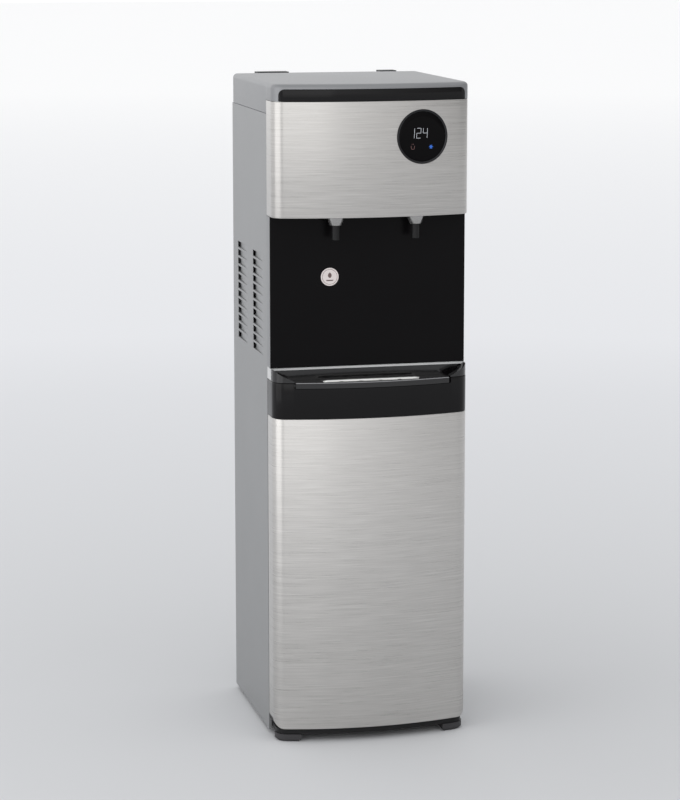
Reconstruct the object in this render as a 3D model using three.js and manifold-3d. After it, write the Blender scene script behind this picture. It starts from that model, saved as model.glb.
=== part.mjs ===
// Free-standing bottom-load water dispenser, built as separate pieces. Millimetres, +Z up, front faces -Y.
import * as THREE from 'three'
import { mergeVertices } from 'three/addons/utils/BufferGeometryUtils.js'
import Module from 'manifold-3d'

const wasm = await Module()
wasm.setup()

// Cabinet envelope
const HALF = 155              // half the cabinet's width
const FRONT = -181.5          // foremost point of the bowed front
const SEAM = -110.5           // front edge of the steel side panels
const REAR = 156.5            // rear edge of the side panels
const BACK = 181.5            // wall face of the rear spacers
const BOW_R = 544             // plan radius of the bowed front
const CORNER_R = 24           // plan radius of its two corners
const SHEET = 0.8             // steel sheet
const GAP = 0.3               // clearance between neighbouring pieces

// Heights
const PAN_Z = 12              // underside of the base pan
const FLOOR_Z = 26            // bottle bay floor
const DOOR_Z = 21             // foot of the door
const DOOR_CAP_Z = 515        // joint between door skin and black cap
const DOOR_TOP = 571
const DECK_Z = 588            // mid deck that carries the compressor
const LIP_Z = 590             // top of the light trim lip
const SOFFIT_Z = 826          // underside of the dispensing head
const FASCIA_Z = 825
const BAND_Z = 1002
const COVER_FRONT_Z = 1021
const COVER_SIDE_Z = 981.5
const COVER_TOP = 1030
const SPACER_TOP = 1029.5     // top of the rear spacers

// Dispensing alcove
const ALCOVE = -133.5         // face of the black splash panel
const HOT_X = -58
const COLD_X = 68
const TAP_Y = -161.5
const DIAL_X = 75
const DIAL_Z = 947
const DIAL_R = 41.5

// Door hinge line and bottle
const HINGE_X = 149
const HINGE_Y = -119.5
const PIN_R = 2.5
const PIN_PLAY = 0.05
const BOTTLE_Y = 10
const BOTTLE_R = 136
const LIP_HALF = 122          // half width of the drip tray's front lip
const NOTCH_Z = 562           // foot of the notch it fills in the door cap
const BAY_HALF = 146
const BAY_BACK = 149
const PROBE_X = -124
const PROBE_Y = -92

// Power inlet on the back
const INLET_X = 120
const INLET_Z = 776

// Louvres of a side panel
const LOUVRE_ROWS = 12
const LOUVRE_Z = 607.5
const LOUVRE_PITCH = 13.4
const LOUVRE_HEIGHT = 10
const LOUVRE_DEPTH = 4.6
const LOUVRE_COLUMNS = [[-82.5, -2.5], [40, 118]]

const STAINLESS = [0xb9b8b5, 0.32, 1.0]
const SILVER_PAINT = [0xa6a7a8, 0.45, 0.35]
const SILVER_PLASTIC = [0xc9cacb, 0.4, 0.1]
const LIGHT_PLASTIC = [0xc4c5c5, 0.4, 0.0]
const BLACK_GLOSS = [0x151416, 0.12, 0.0]
const BLACK_PLASTIC = [0x1d1d1f, 0.5, 0.0]
const GREY_PLASTIC = [0x47484b, 0.5, 0.0]
const WHITE_PLASTIC = [0xe8e8e6, 0.5, 0.0]
const GALVANISED = [0x9a9c9e, 0.5, 0.8]
const BLACK_STEEL = [0x1b1b1c, 0.45, 0.6]
const FOAM = [0xe9e5d8, 0.95, 0.0]
const BOARD_GREEN = [0x1f5a36, 0.6, 0.0]
const SILICONE = [0xdedfdc, 0.5, 0.0]
const BLUE_PLASTIC = [0x2c62a8, 0.45, 0.0]
const RED_PLASTIC = [0xb3231f, 0.4, 0.0]
const GREEN_PLASTIC = [0x23824a, 0.4, 0.0]
const LABEL_WHITE = [0xe2dad8, 0.6, 0.0]

// A closed geometry as a solid that can be joined and cut, facing outwards.
function solid(geometry) {
  const bare = new THREE.BufferGeometry()
  bare.setAttribute('position', geometry.attributes.position.clone())
  if (geometry.index) {
    bare.setIndex(geometry.index.clone())
  }
  const merged = mergeVertices(bare, 1e-4)
  const corners = merged.attributes.position.array
  const order = merged.index.array
  const faces = []
  let volume = 0
  for (let i = 0; i < order.length; i += 3) {
    const [a, b, c] = [order[i], order[i + 1], order[i + 2]]
    if (a === b || b === c || c === a) {
      continue
    }
    const p = new THREE.Vector3().fromArray(corners, a * 3)
    const q = new THREE.Vector3().fromArray(corners, b * 3)
    const r = new THREE.Vector3().fromArray(corners, c * 3)
    volume += p.dot(q.cross(r))
    faces.push(a, b, c)
  }
  if (volume < 0) {
    faces.reverse()
  }
  const mesh = new wasm.Mesh({
    numProp: 3,
    vertProperties: new Float32Array(corners),
    triVerts: new Uint32Array(faces)
  })
  return new wasm.Manifold(mesh)
}

function block(x0, x1, y0, y1, z0, z1) {
  const box = new THREE.BoxGeometry(x1 - x0, y1 - y0, z1 - z0)
  return solid(box.translate((x0 + x1) / 2, (y0 + y1) / 2, (z0 + z1) / 2))
}

// An outline in plan, as [x, y] pairs, raised from z0 to z1.
function prism(outline, z0, z1) {
  const shape = new THREE.Shape(outline.map(([x, y]) => new THREE.Vector2(x, y)))
  const body = new THREE.ExtrudeGeometry(shape, { depth: z1 - z0, bevelEnabled: false })
  return solid(body.translate(0, 0, z0))
}

// An outline seen from the front, as [x, z] pairs, running from y0 to y1.
function frontPrism(outline, y0, y1) {
  const shape = new THREE.Shape(outline.map(([x, z]) => new THREE.Vector2(x, z)))
  const body = new THREE.ExtrudeGeometry(shape, { depth: y1 - y0, bevelEnabled: false })
  return solid(body.rotateX(Math.PI / 2).translate(0, y1, 0))
}

// An outline seen from the side, as [y, z] pairs, running from x0 to x1.
function sidePrism(outline, x0, x1) {
  const shape = new THREE.Shape(outline.map(([y, z]) => new THREE.Vector2(y, z)))
  const body = new THREE.ExtrudeGeometry(shape, { depth: x1 - x0, bevelEnabled: false })
  const [x, y, z] = [new THREE.Vector3(1, 0, 0), new THREE.Vector3(0, 1, 0), new THREE.Vector3(0, 0, 1)]
  return solid(body.translate(0, 0, x0).applyMatrix4(new THREE.Matrix4().makeBasis(y, z, x)))
}

// A turned body about a vertical axis at x, y, from [radius, z] pairs that start and end on the axis.
function turned(profile, x, y, sides = 32) {
  const points = profile.map(([r, z]) => new THREE.Vector2(r, z))
  return solid(new THREE.LatheGeometry(points, sides).rotateX(Math.PI / 2).translate(x, y, 0))
}

function rod(radius, x, y, z0, z1, sides = 32) {
  return turned([[0, z0], [radius, z0], [radius, z1], [0, z1]], x, y, sides)
}

// A rod that lies front to back, about x, z.
function depthRod(radius, x, z, y0, y1, sides = 32) {
  const body = new THREE.CylinderGeometry(radius, radius, y1 - y0, sides)
  return solid(body.translate(x, (y0 + y1) / 2, z))
}

// A round hose or tube of one radius through a list of points.
function hose(points, radius, steps, sides = 10) {
  const path = new THREE.CatmullRomCurve3(points.map((p) => new THREE.Vector3(...p)), false, 'centripetal')
  const ring = []
  for (let i = 0; i < sides; i += 1) {
    const turn = (i / sides) * 2 * Math.PI
    ring.push(new THREE.Vector2(radius * Math.cos(turn), radius * Math.sin(turn)))
  }
  return solid(new THREE.ExtrudeGeometry(new THREE.Shape(ring), { steps, extrudePath: path }))
}

// Plan outline of the bowed front, offset inwards by inset and closed straight across at y = back.
function bow(inset, back) {
  const centreY = FRONT + BOW_R
  const cornerX = HALF - CORNER_R
  const cornerY = centreY - Math.sqrt((BOW_R - CORNER_R) ** 2 - cornerX ** 2)
  const turn = Math.atan2(centreY - cornerY, cornerX)
  const radius = CORNER_R - inset
  const points = [[HALF - inset, back]]
  const cornerSteps = 6
  for (let i = 0; i <= cornerSteps; i += 1) {
    const a = (turn * i) / cornerSteps
    points.push([cornerX + radius * Math.cos(a), cornerY - radius * Math.sin(a)])
  }
  const bowSteps = 20
  for (let i = 1; i < bowSteps; i += 1) {
    const a = turn + ((Math.PI - 2 * turn) * i) / bowSteps
    points.push([(BOW_R - inset) * Math.cos(a), centreY - (BOW_R - inset) * Math.sin(a)])
  }
  for (let i = cornerSteps; i >= 0; i -= 1) {
    const a = (turn * i) / cornerSteps
    points.push([-cornerX - radius * Math.cos(a), cornerY - radius * Math.sin(a)])
  }
  points.push([-HALF + inset, back])
  return points
}

function bowBlock(inset, back, z0, z1) {
  return prism(bow(inset, back), z0, z1)
}

// A wall that follows the bowed front, open at the rear.
function bowShell(inset, wall, back, z0, z1) {
  return bowBlock(inset, back, z0, z1).subtract(bowBlock(inset + wall, back + 5, z0 - 1, z1 + 1))
}

function bowAt(x, inset = 0) {
  return FRONT + BOW_R - Math.sqrt((BOW_R - inset) ** 2 - x ** 2)
}

// A rounded rectangle in two axes, as pairs.
function rounded(x0, x1, y0, y1, r, steps = 5) {
  const points = []
  const centres = [[x1 - r, y1 - r], [x0 + r, y1 - r], [x0 + r, y0 + r], [x1 - r, y0 + r]]
  centres.forEach(([cx, cy], corner) => {
    for (let i = 0; i <= steps; i += 1) {
      const a = ((corner + i / steps) * Math.PI) / 2
      points.push([cx + r * Math.cos(a), cy + r * Math.sin(a)])
    }
  })
  return points
}

function mirrored(body) {
  return body.scale([-1, 1, 1])
}

function piece(name, body, [colour, roughness, metalness]) {
  const mesh = body.getMesh()
  const geometry = new THREE.BufferGeometry()
  geometry.setAttribute('position', new THREE.BufferAttribute(new Float32Array(mesh.vertProperties), 3))
  geometry.setIndex(new THREE.BufferAttribute(new Uint32Array(mesh.triVerts), 1))
  const flat = geometry.toNonIndexed()
  flat.computeVertexNormals()
  const material = new THREE.MeshStandardMaterial({ color: colour, roughness, metalness })
  const result = new THREE.Mesh(flat, material)
  result.name = name
  return result
}

// Moulded base with a shallow round seat for the bottle; its nose runs forward under the door.
function basePan() {
  const nose = bowBlock(5, -100, PAN_Z, 19.5)
  const body = block(-153.5, 153.5, -109, 153.5, PAN_Z, FLOOR_Z)
  const under = block(-143, 143, -98, 143, PAN_Z - 1, 18)
  const seat = rod(138, 0, BOTTLE_Y, FLOOR_Z - 2, FLOOR_Z + 1, 64)
  const pinHole = rod(PIN_R + PIN_PLAY, HINGE_X, HINGE_Y, 14, 25)
  return nose.add(body).subtract(under).subtract(seat).subtract(pinHole)
}

function frontFoot() {
  const upper = bowBlock(3, -138, 3, PAN_Z - GAP).intersect(block(115, HALF, -200, -138, 0, 20))
  const sole = bowBlock(6, -138, 0, 4).intersect(block(118, HALF, -200, -141, 0, 20))
  return upper.add(sole)
}

function rearFoot() {
  return turned([[0, 0], [13, 0], [15, 3], [15, PAN_Z - GAP], [0, PAN_Z - GAP]], 122, 118)
}

// One pressed louvre of the right-hand panel: a dish that deepens towards its open rear end.
function louvreDish([y0, y1], z) {
  const half = LOUVRE_HEIGHT / 2 + 1
  const inner = HALF - SHEET
  const plan = [
    [HALF - 0.2, y0 - 1], [inner, y0 - 1], [inner - LOUVRE_DEPTH, y1], [HALF - 0.2, y1]
  ]
  return prism(plan, z - half, z + half)
}

function louvrePocket([y0, y1], z) {
  const half = LOUVRE_HEIGHT / 2
  const inner = HALF - SHEET
  const plan = [
    [HALF + 1, y0], [HALF, y0], [inner - LOUVRE_DEPTH + SHEET, y1 + 1],
    [inner, y1 + 1], [inner, y1], [HALF + 1, y1]
  ]
  return prism(plan, z - half, z + half)
}

function sidePanel() {
  let panel = block(HALF - SHEET, HALF, SEAM, REAR, 7, COVER_SIDE_Z - GAP)
  panel = panel.add(block(143, HALF, REAR - SHEET, REAR, 7, COVER_SIDE_Z - GAP))
  panel = panel.add(block(150.5, HALF, SEAM, SEAM + SHEET, 7, COVER_SIDE_Z - GAP))
  for (const column of LOUVRE_COLUMNS) {
    for (let row = 0; row < LOUVRE_ROWS; row += 1) {
      const z = LOUVRE_Z + row * LOUVRE_PITCH
      panel = panel.add(louvreDish(column, z)).subtract(louvrePocket(column, z))
    }
  }
  return panel
}

function rearPanelLower() {
  return block(-153.3, 153.3, 153.8, 155, PAN_Z + GAP, 585)
}

function rearPanelUpper() {
  const sheet = block(-153.3, 153.3, 153.8, 155, 585.6, 981)
  const switches = block(77.5, 132.5, 150, 160, 865.5, 904.5)
  const drain = depthRod(9.3, -104, 835, 150, 160)
  const inlet = depthRod(9.3, INLET_X, INLET_Z, 150, 160)
  return sheet.subtract(switches).subtract(drain).subtract(inlet)
}

// The band's outline seen from the front: square below, rounded at its upper ends.
function bandOutline(grow) {
  return frontPrism(rounded(-146 - grow, 146 + grow, 900, COVER_FRONT_Z - GAP + grow, 9), -220, SEAM + 1)
}

// Cap of the cabinet: deep sides behind the seam; in front it frames the black band.
function topCover() {
  const steps = [[0, COVER_SIDE_Z, 1022], [0.9, 1021.5, 1025], [2.6, 1024.5, 1027.6]]
  steps.push([5.2, 1027, 1029.2], [9, 1029, COVER_TOP])
  let cover = null
  for (const [inset, z0, z1] of steps) {
    const layer = bowBlock(inset, REAR - inset, z0, z1)
    cover = cover ? cover.add(layer) : layer
  }
  const hollow = block(-152, 152, SEAM - 1, 154, COVER_SIDE_Z - 1, 1024)
  const overSteel = bowBlock(-2, SEAM - GAP, COVER_SIDE_Z - 1, BAND_Z + GAP)
  const front = bowBlock(3, SEAM, 1001, 1024)
  return cover.subtract(hollow).subtract(overSteel).subtract(front).subtract(bandOutline(GAP))
}

function glossBand() {
  return bowShell(0.6, 2, SEAM - GAP, BAND_Z + GAP, COVER_FRONT_Z - GAP).intersect(bandOutline(0))
}

function dialPlace(body) {
  const lean = Math.asin(DIAL_X / BOW_R)
  return body.rotate([0, 0, (lean * 180) / Math.PI]).translate([DIAL_X, bowAt(DIAL_X), DIAL_Z])
}

function upperFascia() {
  const shell = bowShell(0, 1.2, SEAM - GAP, FASCIA_Z, BAND_Z)
  return shell.subtract(dialPlace(depthRod(DIAL_R + GAP, 0, 0, -20, 20, 64)))
}

function dialBezel() {
  const flange = depthRod(DIAL_R, 0, 0, 0.4, 4, 64)
  const collar = depthRod(DIAL_R - 1.4, 0, 0, 3, 9, 64)
  return dialPlace(flange.add(collar).subtract(depthRod(38.2, 0, 0, -5, 20, 64)))
}

function dialLens() {
  return dialPlace(depthRod(37.9, 0, 0, 0.9, 3.6, 64))
}

function soffit() {
  let plate = bowBlock(1.5, SEAM - GAP, SOFFIT_Z, SOFFIT_Z + 3)
  for (const x of [HOT_X, COLD_X]) {
    plate = plate.subtract(rod(6.4, x, TAP_Y, SOFFIT_Z - 1, SOFFIT_Z + 4))
  }
  return plate
}

function splashPanel() {
  return block(-HALF, HALF, ALCOVE, ALCOVE + 2, LIP_Z + GAP, SOFFIT_Z - 1.2)
}

// Silver inner shell behind the splash panel; its edges show as a narrow strip at each side.
function alcoveFrame() {
  const z0 = LIP_Z + GAP
  const z1 = SOFFIT_Z - 1.2
  const whole = block(-HALF, HALF, ALCOVE + 2 + GAP, SEAM - GAP, z0, z1)
  return whole.subtract(block(-HALF + 2.5, HALF - 2.5, ALCOVE + 4.5, SEAM + 1, z0 - 1, z1 + 1))
}

// Light trim that closes the foot of the alcove and wraps down both sides to the door seam.
function lipTrim() {
  const whole = bowBlock(0, SEAM - GAP, DOOR_TOP + 1, LIP_Z)
  const front = block(-200, 200, -200, ALCOVE - 3.5, 500, 700)
  const below = block(-HALF + 2.5, HALF - 2.5, -200, -100, 500, LIP_Z - 3)
  const behind = block(-HALF + 2.5, HALF - 2.5, ALCOVE + 2, -100, 500, LIP_Z + 1)
  return whole.subtract(front).subtract(below).subtract(behind)
}

// Fixed black shelf behind the door cap; the drip tray drops into its pocket.
function trayHousing() {
  const shelf = bowBlock(9.5, ALCOVE, 541, DOOR_TOP)
  const upstand = block(-152, 152, ALCOVE - 0.1, SEAM - 1.5, 541, LIP_Z - 3.3)
  const pocket = bowBlock(12.5, ALCOVE - 3, 544, DOOR_TOP + 1)
  const rearWeight = block(-140, 140, ALCOVE + 3, SEAM, 540, LIP_Z - 6)
  const pinHole = rod(PIN_R + PIN_PLAY, HINGE_X, HINGE_Y, 540, 584.5)
  const heel = block(140, 160, -160, -100, 500, DOOR_TOP + 1.4)
  const toe = block(-160, -140, -160, -100, 500, DOOR_TOP + 1.4)
  const sill = block(-LIP_HALF - 2, LIP_HALF + 2, -200, -150, 568, 600)
  const shelfAndWall = shelf.add(upstand).subtract(pocket).subtract(rearWeight)
  const cut = shelfAndWall.subtract(heel).subtract(toe).subtract(sill).subtract(pinHole)
  return cut.add(trayCheek(1)).add(trayCheek(-1))
}

// Corner of the tray rim above the door cap, swept down from the lip trim to the front sill.
function trayCheek(hand) {
  const rim = bowShell(0.3, 12.2, ALCOVE - 3.8, DOOR_TOP + 0.6, LIP_Z)
  const root = bowShell(9.6, 2.9, ALCOVE - 3.8, DOOR_TOP - 4, DOOR_TOP + 1)
  const near = LIP_HALF + 2
  const span = [[near, 560], [160, 560], [160, 589.5], [153, 589.5], [145, 583], [132, 577], [near, 573.4]]
  const outline = span.map(([x, z]) => [hand * x, z])
  const swept = frontPrism(hand > 0 ? outline : outline.reverse(), -200, -100)
  const stem = block(-140, 140, -200, -150, 560, 600)
  return rim.add(root.intersect(stem)).intersect(swept)
}

// Drip tray: a basin under the grating, and a front lip that hangs in the notch of the door cap.
function dripTray() {
  const width = block(-138, 138, -200, -100, 500, 600)
  const reach = block(-LIP_HALF, LIP_HALF, -200, -150, 500, 600)
  const body = bowBlock(13, ALCOVE - 3.6, 544.3, DOOR_TOP - 0.5).intersect(width)
  const flange = bowBlock(0.8, -138, 568.3, DOOR_TOP - 0.5).intersect(reach)
  const lip = bowShell(0.8, 3, -138, NOTCH_Z + 0.6, 570).intersect(reach)
  const grilleSeat = bowBlock(15, ALCOVE - 5, 568.2, 580).intersect(block(-78.4, 78.4, -200, -100, 500, 600))
  const basin = bowBlock(18, -138, 547, 580).intersect(block(-74, 74, -200, ALCOVE - 8, 500, 600))
  return body.add(flange).add(lip).subtract(grilleSeat).subtract(basin)
}

// Stainless grating with a rounded ridge across it and a row of drain slots on either side.
function dripGrille() {
  const plate = bowBlock(15.3, ALCOVE - 5.3, 568.5, 570.5).intersect(block(-78, 78, -200, -100, 500, 600))
  const ridge = block(-76, 76, -157, -152, 570, 572.4)
  let grille = plate.add(ridge)
  for (let i = -2; i <= 2; i += 1) {
    grille = grille.subtract(block(i * 31 - 4, i * 31 + 2, -149, -142, 560, 575))
  }
  for (let i = -2; i <= 1; i += 1) {
    grille = grille.subtract(block(i * 31 + 10, i * 31 + 16, -164, -159, 560, 575))
  }
  return grille
}

function badge() {
  return depthRod(14, -61, 730, ALCOVE - 0.9, ALCOVE - 0.1, 40)
}

function nozzleCollar(x) {
  const top = SOFFIT_Z - GAP
  const outer = turned([[0, 813], [9.3, 813], [13.2, top - 1], [13.2, top], [0, top]], x, TAP_Y)
  return outer.subtract(rod(6.3, x, TAP_Y, 800, 830))
}

function nozzleSpout(x) {
  return rod(6, x, TAP_Y, 790, SOFFIT_Z + 3, 24).subtract(rod(4, x, TAP_Y, 780, 835, 24))
}

// Solenoid valve over a spout: body, coil and rear inlet stub.
function tapValve(x) {
  const body = prism(rounded(x - 13, x + 13, -173, -150, 3), SOFFIT_Z + 3 + GAP, 850)
  const coil = rod(10, x, TAP_Y, 849, 878)
  const stub = depthRod(4, x, 840, -151, -140, 16)
  return body.add(coil).add(stub)
}

function hotTank() {
  const shell = turned([[0, 838], [30, 838], [38, 844], [38, 950], [30, 958], [0, 958]], HOT_X, -50, 40)
  const hollow = [[0, 839], [29.5, 839], [37, 844.6], [37, 949.4], [29.5, 957], [0, 957]]
  const inside = turned(hollow, HOT_X, -50, 40)
  const heater = rod(6, HOT_X, -50, 796.5, 970, 20)
  return shell.subtract(inside).add(heater).subtract(depthRod(4.2, HOT_X, 850, -95, -84, 16))
}

function coldTank() {
  const shell = turned([[0, 812], [40, 812], [47, 818], [47, 946], [40, 952], [0, 952]], COLD_X, 20, 40)
  const hollow = [[0, 813], [39.5, 813], [46, 818.6], [46, 945.4], [39.5, 951], [0, 951]]
  const inside = turned(hollow, COLD_X, 20, 40)
  return shell.subtract(inside).subtract(rod(5, COLD_X, 20, 940, 960, 20))
}

function coldFoam() {
  const outer = prism(rounded(COLD_X - 66, COLD_X + 66, -42, 86, 16), 796.5, 960)
  const bore = rod(47.4, COLD_X, 20, 811.6, 970, 40)
  return outer.subtract(bore)
}

function midDeck() {
  const deck = block(-152, 152, -109, 153.5, DECK_Z, DECK_Z + 1.2)
  return deck.subtract(rod(9, PROBE_X, PROBE_Y, 560, 600, 24))
}

function tankShelf() {
  const shelf = block(-150, 150, -108, 150, 795, 796.2)
  const lineHole = block(-30, 0, 60, 120, 790, 800)
  return shelf.subtract(lineHole)
}

function bayWall(x0, x1) {
  return block(x0, x1, -108.5, BAY_BACK - GAP, FLOOR_Z + GAP, DECK_Z - GAP)
}

function bayRear() {
  return block(-BAY_HALF - 1.5, BAY_HALF + 1.5, BAY_BACK, BAY_BACK + 2, FLOOR_Z + GAP, DECK_Z - GAP)
}

// Compressor: domed steel can on a pressed foot plate with a terminal cover.
function compressor() {
  const dome = [[0, 600], [40, 600], [52, 612], [54, 640], [54, 690], [46, 715], [24, 728], [0, 731]]
  const can = turned(dome, 30, 60, 40)
  const plate = prism(rounded(-45, 105, 12, 108, 10), 594, 601)
  const terminals = block(76, 98, 42, 78, 640, 676)
  let whole = can.add(plate).add(terminals)
  for (const [x, y] of [[-33, 24], [93, 24], [-33, 96], [93, 96]]) {
    whole = whole.add(rod(8, x, y, DECK_Z + 1.2 + GAP, 596, 20))
  }
  return whole
}

function waterPump() {
  const motor = rod(22, -104, 30, 606, 656)
  const foot = prism(rounded(-130, -78, 4, 56, 6), DECK_Z + 1.2 + GAP, 610)
  const ports = rod(4, -104, 20, 650, 664, 16)
  return motor.add(foot).add(ports)
}

// Serpentine condenser tube with upright wires across it and four stand-off posts.
function condenser() {
  const passes = 9
  const pitch = 78
  const x = 105
  const y = 170
  const path = new THREE.CurvePath()
  let z = 110
  for (let i = 0; i < passes; i += 1) {
    const side = i % 2 === 0 ? 1 : -1
    path.add(new THREE.LineCurve3(new THREE.Vector3(-side * x, y, z), new THREE.Vector3(side * x, y, z)))
    if (i < passes - 1) {
      const bulge = side * (x + 36)
      const start = new THREE.Vector3(side * x, y, z)
      const end = new THREE.Vector3(side * x, y, z + pitch)
      const lift = new THREE.Vector3(bulge, y, z)
      const drop = new THREE.Vector3(bulge, y, z + pitch)
      path.add(new THREE.CubicBezierCurve3(start, lift, drop, end))
    }
    z += pitch
  }
  const ring = []
  for (let i = 0; i < 8; i += 1) {
    ring.push(new THREE.Vector2(2.6 * Math.cos((i * Math.PI) / 4), 2.6 * Math.sin((i * Math.PI) / 4)))
  }
  let grid = solid(new THREE.ExtrudeGeometry(new THREE.Shape(ring), { steps: 130, extrudePath: path }))
  for (let i = -6; i <= 6; i += 1) {
    grid = grid.add(block(i * 15 - 0.9, i * 15 + 0.9, y + 1.2, y + 3.4, 96, 748))
  }
  for (const [px, pz] of [[-90, 266], [90, 266], [-90, 578], [90, 578]]) {
    grid = grid.add(depthRod(3, px, pz, 155.3, y, 12))
  }
  return grid
}

function rearSpacer(x0, x1) {
  const foot = block(x0, x1, REAR + GAP, REAR + 4, 988, SPACER_TOP)
  const arm = block(x0, x1, REAR + 3, BACK, SPACER_TOP - 8, SPACER_TOP)
  const web = block((x0 + x1) / 2 - 2, (x0 + x1) / 2 + 2, REAR + 3, BACK, 996, SPACER_TOP)
  const pad = block(x0, x1, BACK - 4, BACK, 1004, SPACER_TOP)
  return foot.add(arm).add(web).add(pad)
}

function controlBoard() {
  return block(-140, -30, 60, 61.6, 796.5, 900)
}

function switchBox() {
  const flange = frontPrism(rounded(75, 135, 863, 907, 4), 155.3, 157.5)
  const body = block(78, 132, 140, 156, 866, 904)
  let box = flange.add(body)
  for (const x of [91, 119]) {
    box = box.subtract(block(x - 7.5, x + 7.5, 146, 160, 871.5, 898.5))
  }
  return box
}

// One rocker, resting with its upper end pressed in.
function rocker(x) {
  const profile = [[-3, -12], [3.2, -12], [1.6, 0], [3.2, 12], [-3, 12]]
  return sidePrism(profile, -7, 7).rotate([8, 0, 0]).translate([x, 156, 885])
}

function drainSpout() {
  const tube = depthRod(9, -104, 835, 132, 172, 28).add(depthRod(13, -104, 835, 148, 153.5, 28))
  return tube.subtract(depthRod(5.5, -104, 835, 120, 180, 20))
}

function drainCap() {
  const cap = depthRod(13, -104, 835, 158, 177, 28)
  return cap.subtract(depthRod(9.4, -104, 835, 150, 173.5, 28))
}

function cordInlet() {
  const flange = depthRod(12, INLET_X, INLET_Z, 155.3, 159, 28)
  const collar = depthRod(9, INLET_X, INLET_Z, 146, 157, 28)
  return flange.add(collar).subtract(depthRod(4, INLET_X, INLET_Z, 140, 170, 20))
}

// Stainless door face, with rounded lower corners.
function doorSkin() {
  const elevation = [...rounded(-HALF - 1, HALF + 1, DOOR_Z, 700, 13)]
  const window = frontPrism(elevation, -220, -60)
  return bowShell(0, 1, -113.5, DOOR_Z, DOOR_CAP_Z - GAP).intersect(window)
}

// Black cap of the door, notched along its top for the lip of the drip tray.
function doorCap() {
  const wall = bowShell(0, 7.5, -113.5, DOOR_CAP_Z, DOOR_TOP)
  const boss = rod(7, HINGE_X, HINGE_Y, 545, DOOR_TOP).intersect(bowBlock(0.5, -113.5, 540, DOOR_TOP))
  const notch = block(-LIP_HALF - 3.5, LIP_HALF + 3.5, -200, -150, NOTCH_Z, 600)
  return wall.add(boss).subtract(notch).subtract(rod(PIN_R + PIN_PLAY, HINGE_X, HINGE_Y, 556, 580, 24))
}

// Room for the bottle where it stands proud of the bay.
function bottleRoom() {
  return rod(BOTTLE_R + 4, 0, BOTTLE_Y, 0, 560, 96)
}

// Inner pan of the door: a rim all round a recess that clears the bottle.
function doorLiner() {
  const outer = bowBlock(1.3, -113.5, 33.3, DOOR_CAP_Z - GAP)
  return outer.subtract(bowBlock(4.5, -100, 44, 503)).subtract(bottleRoom())
}

function doorRail() {
  const elevation = rounded(-HALF - 1, HALF + 1, DOOR_Z + 0.4, 700, 13)
  const rail = bowBlock(1.3, -113.5, DOOR_Z + 0.4, 33).intersect(frontPrism(elevation, -220, -60))
  const hollow = bowBlock(14, -119, 24, 40).intersect(block(-135, 128, -200, -100, 0, 60))
  const pinHole = rod(PIN_R + PIN_PLAY, HINGE_X, HINGE_Y, 10, 31.5, 24)
  return rail.subtract(hollow).subtract(bottleRoom()).subtract(pinHole)
}

function hingePin(z0, z1) {
  return rod(PIN_R, HINGE_X, HINGE_Y, z0, z1, 24)
}

function probeHolder() {
  const back = block(-145.7, -143.2, -106, -78, 440, 470)
  const arm = block(-144, -108, -106, -78, 458, 464)
  const slot = rod(8, PROBE_X, PROBE_Y, 400, 500, 28)
  return back.add(arm).subtract(slot)
}

function probeTube() {
  const tube = rod(6, PROBE_X, PROBE_Y, 52, 478, 20)
  return tube.subtract(rod(4, PROBE_X, PROBE_Y, 40, 490, 20))
}

function probeCap() {
  const profile = [[0, 464.3], [17.5, 464.3], [17.5, 486], [11, 492], [7, 500], [7, 508], [0, 508]]
  const collar = turned(profile, PROBE_X, PROBE_Y, 36)
  return collar.subtract(rod(6.3, PROBE_X, PROBE_Y, 460, 478.3, 24))
}

function probeHose() {
  return rod(5, PROBE_X, PROBE_Y, 508.3, 572, 20)
}

function pumpHose() {
  const rise = [[PROBE_X, PROBE_Y, 572.3], [PROBE_X, PROBE_Y, 620]]
  const over = [[-121, -62, 690], [-112, -20, 712], [-104, 14, 700], [-104, 20, 665.4]]
  return hose([...rise, ...over], 4.6, 30)
}

const part = new THREE.Group()
part.name = 'water_dispenser'

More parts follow.
